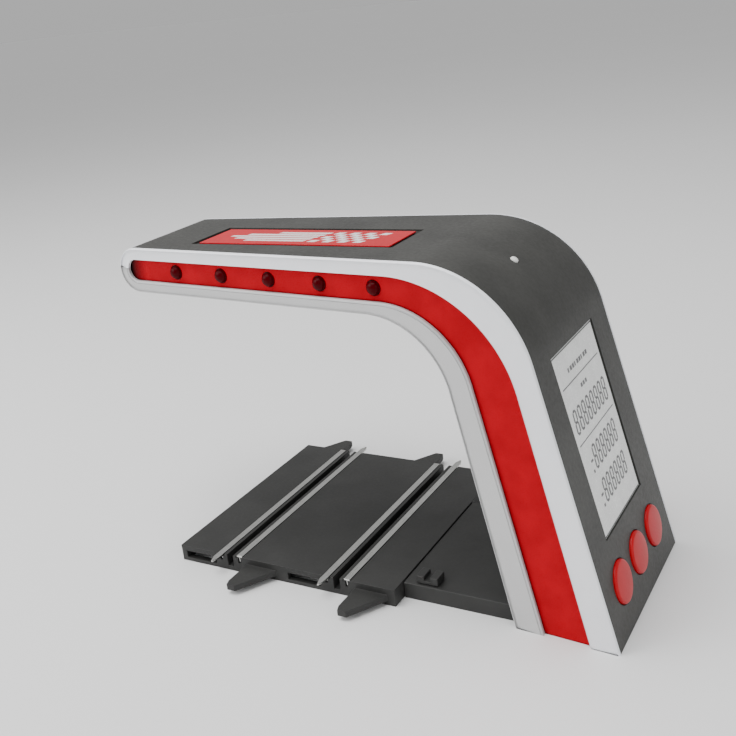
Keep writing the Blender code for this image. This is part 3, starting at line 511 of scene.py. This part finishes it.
def edge_line(edge, offset):
    """A line from the nose's seam to the ground, offset from one edge of a frame into it."""
    if edge == "skin_top":
        return (nose_arc(NOSE_RADIUS - offset, NOSE_Z, SEAM_ANGLE - SEAM_HALF, pi / 2)
                + bent_line(HEIGHT - offset, OUTER_BEND_X, OUTER_RADIUS - offset, OUTER_LEAN,
                            HEIGHT - NOSE_TOP))
    if edge == "band_top":
        return (nose_arc(BAND_END_RADIUS + offset, BAND_MIDDLE, SEAM_ANGLE - SEAM_HALF, pi / 2)
                + bent_line(BAND_TOP + offset, BAND_OUT_BEND_X, BAND_OUT_RADIUS + offset,
                            BAND_OUT_LEAN, BAND_TOP - BAND_NOSE_TOP))
    if edge == "band_low":
        return (nose_arc(BAND_END_RADIUS + offset, BAND_MIDDLE, SEAM_ANGLE + SEAM_HALF, 1.5 * pi)
                + bent_line(BAND_LOW - offset, BAND_IN_BEND_X, BAND_IN_RADIUS - offset,
                            BAND_IN_LEAN))
    return (nose_arc(NOSE_RADIUS - offset, NOSE_Z, SEAM_ANGLE + SEAM_HALF, 1.5 * pi)
            + bent_line(UNDERSIDE + offset, INNER_BEND_X, INNER_RADIUS + offset, INNER_LEAN))


def rounded_corner(edge, radius, steps=4):
    """Section points round an outer corner, from the edge's side to the face."""
    angles = [pi / 2 * i / steps for i in range(steps + 1)]
    return [(edge, radius * (1 - sin(a)), radius * (1 - cos(a))) for a in reversed(angles)]


def frame_section(band_edge, skin_edge, lip):
    """Section of a silver frame as (edge, offset, depth), from its back round its face."""
    section = [(band_edge, 0, FRAME_DEPTH)]
    section += rounded_corner(band_edge, BAND_SIDE_ROUNDING)[::-1]
    if lip:
        section += [(band_edge, 0.85 * MM, 0), (band_edge, 0.95 * MM, 0.3 * MM),
                    (band_edge, 1.2 * MM, 0.3 * MM), (band_edge, 1.3 * MM, 0)]
    section += rounded_corner(skin_edge, FACE_ROUNDING)
    section.append((skin_edge, 0, FRAME_DEPTH))
    return section


def build_frame(node, side, band_edge, skin_edge, look, lip):
    bm = bmesh.new()
    lines = []
    for edge, offset, depth in frame_section(band_edge, skin_edge, lip):
        line = []
        for x, z in edge_line(edge, offset):
            y = front_y(x) + depth if side == "front" else back_y(x) - depth
            line.append(bm.verts.new((x, y, z)))
        lines.append(line)
    stations = len(lines[0])
    for i, line in enumerate(lines):
        following = lines[(i + 1) % len(lines)]
        for k in range(stations - 1):
            bm.faces.new((line[k], line[k + 1], following[k + 1], following[k]))
    for k in (0, stations - 1):
        bm.faces.new([line[k] for line in lines])
    piece = finish(f"{node}_detailed", bm, look, "root", replaces=[node], sharp=50)
    weigh_normals(piece)


def build_frames():
    for side in ("front", "rear"):
        # The upper frames get the lit copy of the silver paint and the lower frames the shaded copy
        build_frame(f"{side}_frame_upper", side, "band_top", "skin_top", "silver_top_lit", False)
        build_frame(f"{side}_frame_lower", side, "band_low", "skin_under", "silver_low_shaded", True)


# ---------------------------------------------------------------- lamps, screws, buttons

def arc_profile(radius, height, base, steps=8):
    """A flattened dome as (radius, height) pairs, from its rim at base to its crown."""
    angles = [pi / 2 * i / steps for i in range(steps)]
    points = [(radius * cos(a), base + height * sin(a)) for a in angles]
    return points + [(0, base + height)]


def build_lamps():
    for number in range(1, 6):
        node = f"lamp_{number}"
        low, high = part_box(node)
        x = (low.x + high.x) / 2 - TRACK_LOW.x
        z = (low.z + high.z) / 2
        shoulder = 0.45 * MM - BAND_RECESS
        profile = [(LAMP_RADIUS, -BAND_RECESS - 4 * MM), (LAMP_RADIUS, -BAND_RECESS - 0.1 * MM),
                   (LAMP_RADIUS, -BAND_RECESS + 0.35 * MM), (LAMP_RADIUS - 0.25 * MM, shoulder)]
        profile += arc_profile(LAMP_RADIUS - 0.3 * MM, LAMP_DOME - 0.45 * MM, shoulder)
        bm = bmesh.new()
        outward = Matrix.Translation((x, front_y(x), z)) @ Matrix.Rotation(pi / 2, 4, "X")
        add_turned(bm, profile, 40, outward)
        finish(f"{node}_dome", bm, "lamp", "root", replaces=[node], sharp=50)


def cross_radius(angle, arm, half_width):
    """Distance from the middle to a cross-shaped outline at an angle."""
    turned = angle % (pi / 2)
    turned = min(turned, pi / 2 - turned)
    if turned <= atan(half_width / arm):
        return arm / cos(turned)
    return half_width / sin(turned)


def add_screw(bm, radius, height):
    """A pan head with a cross recess, its face towards +Z at height."""
    arm, half_width = radius * 0.62, radius * 0.16
    recess = min(height, 1 * MM) * 0.7
    corner = atan(half_width / arm)
    angles = []
    for quarter in range(4):
        start = quarter * pi / 2
        angles += [start + a for a in (0, corner, pi / 8 + corner / 2, pi / 4,
                                       3 * pi / 8 - corner / 2, pi / 2 - corner)]

    def ring(reach, level):
        return [bm.verts.new(Vector((reach(a) * cos(a), reach(a) * sin(a), level))) for a in angles]

    rings = [ring(lambda a: radius, 0), ring(lambda a: radius, height * 0.55),
             ring(lambda a: radius * 0.93, height * 0.85), ring(lambda a: radius * 0.8, height),
             ring(lambda a: cross_radius(a, arm, half_width), height),
             ring(lambda a: cross_radius(a, arm * 0.8, half_width * 0.8), height - recess)]
    for near, far in zip(rings, rings[1:]):
        for i in range(len(angles)):
            j = (i + 1) % len(angles)
            bm.faces.new((near[i], near[j], far[j], far[i]))
    bm.faces.new(rings[0])
    bm.faces.new(rings[-1])


def build_screws():
    down = Matrix.Rotation(pi, 4, "X")
    for kind, radius, depth in (("base", 3, 1.1), ("shell", 1.9, 0.9)):
        for number in range(1, 5):
            node = f"{kind}_screw_{number}"
            low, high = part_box(node)
            middle = (low + high) / 2
            turn = Matrix.Rotation(radians(25 + 37 * number), 4, "Z")  # each stopped at its own angle
            seat = Matrix.Translation((middle.x, middle.y, high.z)) @ down @ turn
            bm = bmesh.new()
            add_screw(bm, radius * MM, depth * MM)
            finish(f"{node}_head", bm, "screw", "root", seat, [node], sharp=40)
    low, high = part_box("battery_cover_screw")
    centre = INNER.inverted() @ ((low + high) / 2)
    outward = Matrix.Rotation(-pi / 2, 4, "Y")
    seat = INNER @ Matrix.Translation((1 * MM, centre.y, centre.z)) @ outward
    bm = bmesh.new()
    add_screw(bm, 2 * MM, 0.9 * MM)
    finish("battery_cover_screw_head", bm, "screw", "battery_door", seat,
           ["battery_cover_screw"], sharp=40)


def build_buttons():
    """Round caps with a soft crown and a rounded rim."""
    rim = BUTTON_RADIUS
    profile = [(2.2 * MM, -4.4 * MM), (2.2 * MM, -3.7 * MM), (rim + 1.3 * MM, -3.7 * MM),
               (rim + 1.3 * MM, -2.5 * MM), (rim, -2.5 * MM), (rim, 0.2 * MM)]
    round_over = 1.1 * MM
    for i in range(1, 7):
        angle = pi / 2 * i / 6
        profile.append((rim - round_over * (1 - cos(angle)), 0.2 * MM + round_over * sin(angle)))
    top = profile[-1][1]
    reach = profile[-1][0]
    for i in range(1, 6):
        share = i / 6
        profile.append((reach * (1 - share), top + (BUTTON_PROUD - top) * (1 - (1 - share) ** 2)))
    profile.append((0, BUTTON_PROUD))
    for name, y in BUTTON_Y.items():
        bm = bmesh.new()
        add_turned(bm, profile, 64, TURN_X)
        finish(f"button_{name}_cap", bm, "button", f"{name}_button",
               CONTROL @ Matrix.Translation((0, y, BUTTON_V)), [f"button_{name}"], sharp=40)


def build_status_lamp():
    angle = STATUS_LAMP_ANGLE
    x = OUTER_BEND_X + OUTER_RADIUS * sin(angle)
    z = HEIGHT - OUTER_RADIUS + OUTER_RADIUS * cos(angle)
    seat = TRACK @ Matrix.Translation((x, STATUS_LAMP_Y, z)) @ Matrix.Rotation(angle, 4, "Y")
    profile = [(1.7 * MM, -4.5 * MM), (1.7 * MM, -0.1 * MM)] + arc_profile(1.6 * MM, 0.8 * MM, 0)
    bm = bmesh.new()
    add_turned(bm, profile, 32, Matrix.Identity(4))
    finish("status_lamp_dome", bm, "dot", "root", seat, ["status_lamp"], sharp=50)


# ---------------------------------------------------------------- display

SEGMENTS = ("top", "top_left", "top_right", "middle", "low_left", "low_right", "bottom")


def segment_outline(which, width, height, stroke):
    """One bar of a seven-segment digit, mitred at its ends, as (across, up) pairs."""
    half, gap = stroke / 2, stroke * 0.12
    rows = {"top": height - half, "middle": height / 2, "bottom": half}
    if which in rows:
        v = rows[which]
        left, right = half + gap, width - half - gap
        return [(left, v), (left + half, v - half), (right - half, v - half),
                (right, v), (right - half, v + half), (left + half, v + half)]
    u = half if which.endswith("left") else width - half
    low, high = (height / 2, height - half) if which.startswith("top") else (half, height / 2)
    low, high = low + gap, high - gap
    return [(u, low), (u + half, low + half), (u + half, high - half),
            (u, high), (u - half, high - half), (u - half, low + half)]


def on_display(u, v, lift):
    """A point of the display's face, in the control face's frame."""
    return Vector((DISPLAY_W + DISPLAY_CLEARANCE + lift, u, v))


def add_digit(bm, left, low):
    """All seven bars of a digit, leaning a little."""
    stroke = DIGIT_WIDTH * DIGIT_STROKE
    for which in SEGMENTS:
        outline = [(left + u + (v - DIGIT_HEIGHT / 2) * DIGIT_LEAN, low + v)
                   for u, v in segment_outline(which, DIGIT_WIDTH, DIGIT_HEIGHT, stroke)]
        add_slab(bm, outline, PRINT, on_display)


def add_bar(bm, left, right, low, high):
    add_slab(bm, [(left, low), (right, low), (right, high), (left, high)], PRINT, on_display)


def build_display():
    """Header marks, a lap row of eight digits, and two time rows of six."""
    refine("display_window", "display", "root", 0.25 * MM)
    y0, y1 = DISPLAY_Y
    v0, v1 = DISPLAY_V
    bm = bmesh.new()
    middle = (y0 + y1) / 2
    for count, top, shift in ((8, 23 * MM, 0), (6, 40.5 * MM, 2.5 * MM), (6, 55 * MM, 2.5 * MM)):
        start = middle - (count * DIGIT_PITCH - (DIGIT_PITCH - DIGIT_WIDTH)) / 2 + shift
        foot = v1 - top - DIGIT_HEIGHT
        for i in range(count):
            add_digit(bm, start + i * DIGIT_PITCH, foot)
        if count == 6:
            dash = v1 - top - 5.6 * MM
            add_bar(bm, start - 3.6 * MM, start - 2.2 * MM, foot, foot + 1.3 * MM)
            add_bar(bm, start - 3.6 * MM, start - 1.2 * MM, dash, dash + 1 * MM)
    finish("display_digits", bm, "ink", "root", CONTROL, smooth=False)
    bm = bmesh.new()
    for top in (13.5 * MM, 36.5 * MM):
        add_bar(bm, y0 + 3 * MM, y1 - 3 * MM, v1 - top - 0.45 * MM, v1 - top)
    for i in range(9):
        start = middle + (i - 4.5) * 2.6 * MM
        add_bar(bm, start, start + (1.9 if i % 3 else 1.2) * MM, v1 - 10 * MM, v1 - 8.2 * MM)
    for i in range(3):
        start = middle + (i - 1.5) * 2.6 * MM
        add_bar(bm, start, start + 1.8 * MM, v1 - 19 * MM, v1 - 17.4 * MM)
    finish("display_rules", bm, "ink", "root", CONTROL, smooth=False)
    bm = bmesh.new()
    line, rim = 0.5 * MM, 0.35 * MM
    add_bar(bm, y0 + rim, y1 - rim, v0 + rim, v0 + rim + line)
    add_bar(bm, y0 + rim, y1 - rim, v1 - rim - line, v1 - rim)
    add_bar(bm, y0 + rim, y0 + rim + line, v0 + rim + line, v1 - rim - line)
    add_bar(bm, y1 - rim - line, y1 - rim, v0 + rim + line, v1 - rim - line)
    finish("display_outline", bm, "outline", "root", CONTROL, smooth=False)


# ---------------------------------------------------------------- top plate

def build_top_plate():
    """Red plate with a plain chequer and slanted stripes in white."""
    refine("top_plate", "plate", "root", 0.15 * MM)
    width, length = PLATE_Y[1] - PLATE_Y[0], PLATE_X[1] - PLATE_X[0]
    square = width / 7.5
    stretched = square * 1.15

    def on_plate(u, v, lift):
        """A point of the plate: u along it, v across it, from its corner nearest the nose."""
        along = PLATE_X[0] - NOSE_X + u + (v - width / 2) * PLATE_SLANT
        return Vector((along, PLATE_Y[0] + v, PLATE_FACE + lift))

    bm = bmesh.new()
    for column in range(7):
        for row in range(5):
            if (column + row) % 2 == 0:
                u = length * 0.60 + column * stretched
                v = width / 2 + (row - 2.5) * square
                add_slab(bm, [(u, v), (u + stretched, v), (u + stretched, v + square),
                              (u, v + square)], PRINT, on_plate)
    stripe, stripe_end = square * 0.64, length * 0.575
    for row, start in enumerate((0.25, 0.16, 0.10, 0.16, 0.30)):
        u = length * start
        v = width / 2 + (row - 2.5) * square + square * 0.18
        add_slab(bm, [(u, v), (stripe_end, v), (stripe_end, v + stripe), (u, v + stripe)],
                 PRINT, on_plate)
    finish("top_plate_print", bm, "white", "root", SLOPING_TOP, smooth=False)


# ---------------------------------------------------------------- battery bay and inner face

def build_battery_bay():
    refine("battery_cover", "cover", "battery_door", 0.3 * MM)
    bm = bmesh.new()
    for i in range(7):
        v = 50.5 * MM - i * 2.6 * MM
        reach = (13 - i * 0.9) * MM
        add_box(bm, (-0.35 * MM, BAY_MIDDLE_Y - reach, v),
                (0.1 * MM, BAY_MIDDLE_Y + reach, v + 1 * MM))
    ribs = finish("battery_cover_ribs", bm, "cover", "battery_door", INNER)
    round_edges(ribs, 0.18 * MM)
    first = BAY_MIDDLE_Y - CELL_LENGTH / 2
    edge = 0.5 * MM
    body_end = CELL_LENGTH - 1.2 * MM
    profile = [(0, 0.3 * MM), (CELL_RADIUS - 1.6 * MM, 0.3 * MM), (CELL_RADIUS - 1.2 * MM, 0),
               (CELL_RADIUS - edge, 0), (CELL_RADIUS, edge), (CELL_RADIUS, body_end - edge),
               (CELL_RADIUS - edge, body_end), (CELL_RADIUS - 1.2 * MM, body_end - 0.2 * MM),
               (2.9 * MM, body_end - 0.2 * MM), (2.7 * MM, body_end),
               (2.7 * MM, CELL_LENGTH - 0.3 * MM), (2.4 * MM, CELL_LENGTH), (0, CELL_LENGTH)]
    sleeve = CELL_RADIUS + 0.06 * MM
    sleeve_profile = [(sleeve - 0.05 * MM, 32 * MM), (sleeve, 32.1 * MM), (sleeve, 47.9 * MM),
                      (sleeve - 0.05 * MM, 48 * MM)]
    for number, v in enumerate(CELL_V, 1):
        bm = bmesh.new()
        add_turned(bm, profile, 48, TURN_INTO_Y)
        place = INNER @ Matrix.Translation((CELL_W, first, v))
        finish(f"battery_{number}_cell", bm, "sleeve", "root", place,
               [f"battery_{number}"])
        bm = bmesh.new()
        add_turned(bm, sleeve_profile, 48, TURN_INTO_Y)
        finish(f"battery_{number}_band", bm, "sleeve_band", "root", place)
        build_spring(f"battery_{number}_spring", v, first)


def build_spring(name, v, cell_start):
    """A conical coil between the contact plate and a cell's flat end."""
    around = [2 * pi * k / WIRE_SIDES for k in range(WIRE_SIDES)]
    along_y = Vector((0, 1, 0))
    rings = []
    bm = bmesh.new()
    for i in range(SPRING_STEPS + 1):
        share = i / SPRING_STEPS
        angle = 2 * pi * SPRING_TURNS * share
        radius = (4.2 - 1.6 * share) * MM
        y = CONTACT_FACE_Y + (cell_start - SPRING_WIRE - CONTACT_FACE_Y) * share
        centre = Vector((CELL_W + radius * cos(angle), y, v + radius * sin(angle)))
        outward = Vector((cos(angle), 0, sin(angle)))
        rings.append([bm.verts.new(centre + SPRING_WIRE * (outward * cos(a) + along_y * sin(a)))
                      for a in around])
    for near, far in zip(rings, rings[1:]):
        for k in range(WIRE_SIDES):
            m = (k + 1) % WIRE_SIDES
            bm.faces.new((near[k], near[m], far[m], far[k]))
    bm.faces.new(rings[0])
    bm.faces.new(rings[-1])
    finish(name, bm, "nickel", "root", INNER)


def build_switch_and_speaker():
    refine("power_switch_knob", "cover", "power_switch", 0.2 * MM)
    low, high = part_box("power_switch_knob")
    centre = INNER.inverted() @ ((low + high) / 2)
    bm = bmesh.new()
    for i in range(4):
        y = centre.y + (i - 1.5) * 1.15 * MM
        add_box(bm, (-1.45 * MM, y - 0.25 * MM, SWITCH_V - 1.4 * MM),
                (-1.1 * MM, y + 0.25 * MM, SWITCH_V + 1.4 * MM))
    ribs = finish("power_switch_ribs", bm, "cover", "power_switch", INNER)
    round_edges(ribs, 0.1 * MM)
    cone = [(0, 3.2 * MM), (2.6 * MM, 3.6 * MM), (3.4 * MM, 4.4 * MM), (8 * MM, 2.4 * MM),
            (8.6 * MM, 2.7 * MM), (9.2 * MM, 2.3 * MM)]
    basket = [(10 * MM, 2.3 * MM), (10 * MM, 4.8 * MM), (6 * MM, 7.3 * MM), (0, 7.3 * MM)]
    bm = bmesh.new()
    add_turned(bm, cone + basket, 48, TURN_X)
    finish("speaker_cone", bm, "cone", "root",
           INNER @ Matrix.Translation((0, SPEAKER_Y, SPEAKER_V)), ["speaker"])


# ---------------------------------------------------------------- the rest

def paint(look, *nodes):
    """Gives a material to CAD nodes that keep their shape."""
    for node in nodes:
        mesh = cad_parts[node].data
        mesh.materials.clear()
        mesh.materials.append(LOOKS[look])


def build_shells():
    refine("outer_shell", "shell", "root", 0.35 * MM, 3)
    refine("inner_shell", "inner", "root", 0.15 * MM, merged=False)
    refine("base_plate", "track", "root", 0.4 * MM)
    refine("barrier_socket", "track", "root", 0.3 * MM)


def build_track():
    refine("track_bed", "track", "root", 0.25 * MM)
    for lane in (1, 2):
        for side in ("left", "right"):
            refine(f"rail_lane{lane}_{side}", "steel", "root", 0.12 * MM)


def build_sensors():
    """A dark window with a shallow crown inside a raised rim, facing down."""
    rim = [(SENSOR_RADIUS, -4.5 * MM), (SENSOR_RADIUS, -0.45 * MM), (3 * MM, -0.2 * MM),
           (2.6 * MM, -0.2 * MM), (2.5 * MM, -0.5 * MM)]
    profile = rim + arc_profile(2.4 * MM, 0.25 * MM, -0.5 * MM, 6)
    for number, x in enumerate(LANES, 1):
        bm = bmesh.new()
        add_turned(bm, profile, 40, Matrix.Rotation(pi, 4, "X"))
        finish(f"lane_sensor_{number}_window", bm, "sensor", "root",
               TRACK @ Matrix.Translation((x, ARCH_CENTRE_Y, UNDERSIDE)), [f"lane_sensor_{number}"])


def paint_inner_nodes():
    paint("band", "front_band", "rear_band")
    paint("board", "lamp_board", "display_board")
    paint("ribbon", "lamp_ribbon")
    paint("lcd", "lcd_panel")
    paint("rubber", "lcd_connector_lower", "lcd_connector_upper")
    paint("pad", "switch_pad_left", "switch_pad_middle", "switch_pad_right")
    paint("tray", "battery_tray")
    paint("nickel", "battery_contact_left", "battery_contact_right", "power_switch_body")


# ---------------------------------------------------------------- stage

def stage_floor():
    bm = bmesh.new()
    bmesh.ops.create_grid(bm, x_segments=8, y_segments=8, size=12)
    mesh = bpy.data.meshes.new("floor")
    bm.to_mesh(mesh)
    bm.free()
    floor = bpy.data.objects.new("floor", mesh)
    bpy.context.scene.collection.objects.link(floor)
    made, tree, shader = new_look("floor_paper", Roughness=0.7)
    tree.links.new(blend(tree, noise(tree, 300 * MM), (0.79, 0.79, 0.79), (0.81, 0.81, 0.81)),
                   shader.inputs["Base Color"])
    mesh.materials.append(made)


def area_light(name, place, aim, size, power):
    lamp = bpy.data.lights.new(name, "AREA")
    lamp.shape = "RECTANGLE"
    lamp.size, lamp.size_y = size
    lamp.energy = power
    holder = bpy.data.objects.new(name, lamp)
    holder.location = place
    holder.rotation_euler = (Vector(aim) - Vector(place)).to_track_quat("-Z", "Y").to_euler()
    bpy.context.scene.collection.objects.link(holder)


def light_stage():
    area_light("overhead_softbox", (-0.25, -0.2, 1.15), (0, 0, 0.05), (1.0, 0.8), 15)
    area_light("left_softbox", (-0.8, -0.7, 0.6), (0, 0, 0.08), (0.7, 0.6), 6.5)
    area_light("right_fill", (1.0, -0.4, 0.5), (0.05, 0, 0.06), (0.7, 0.7), 2)
    world = bpy.data.worlds.new("studio")
    world.use_nodes = True
    tree = world.node_tree
    background = tree.nodes["Background"]
    direction = add_node(tree, "ShaderNodeTexCoord").outputs["Generated"]
    upward = add_node(tree, "ShaderNodeSeparateXYZ", {"Vector": direction}).outputs["Z"]
    horizon, zenith = (0.50,) * 3, (0.68,) * 3
    tree.links.new(blend(tree, remap(tree, upward, 0, 1), horizon, zenith),
                   background.inputs["Color"])
    bpy.context.scene.world = world


def place_camera():
    """Azimuth turns from the front towards the tower; roll leans the camera about its view."""
    a, e, r = CAMERA_AZIMUTH, CAMERA_ELEVATION, CAMERA_ROLL
    back = Vector((sin(a) * cos(e), -cos(a) * cos(e), sin(e)))
    right = Vector((cos(a), sin(a), 0))
    up = back.cross(right)
    rolled_right = cos(r) * right + sin(r) * up
    rolled_up = cos(r) * up - sin(r) * right
    lens = bpy.data.cameras.new("camera")
    lens.lens = CAMERA_LENS
    lens.clip_start = 10 * MM
    camera = bpy.data.objects.new("camera", lens)
    place = TRACK @ Vector(CAMERA_AIM) + back * CAMERA_DISTANCE
    axes = Matrix((rolled_right, rolled_up, back)).transposed().to_4x4()
    camera.matrix_world = Matrix.Translation(place) @ axes
    bpy.context.scene.collection.objects.link(camera)
    bpy.context.scene.camera = camera


build_shells()
build_frames()
build_track()
build_lamps()
build_screws()
build_buttons()
build_status_lamp()
build_display()
build_top_plate()
build_battery_bay()
build_switch_and_speaker()
build_sensors()
paint_inner_nodes()
stage_floor()
light_stage()
place_camera()
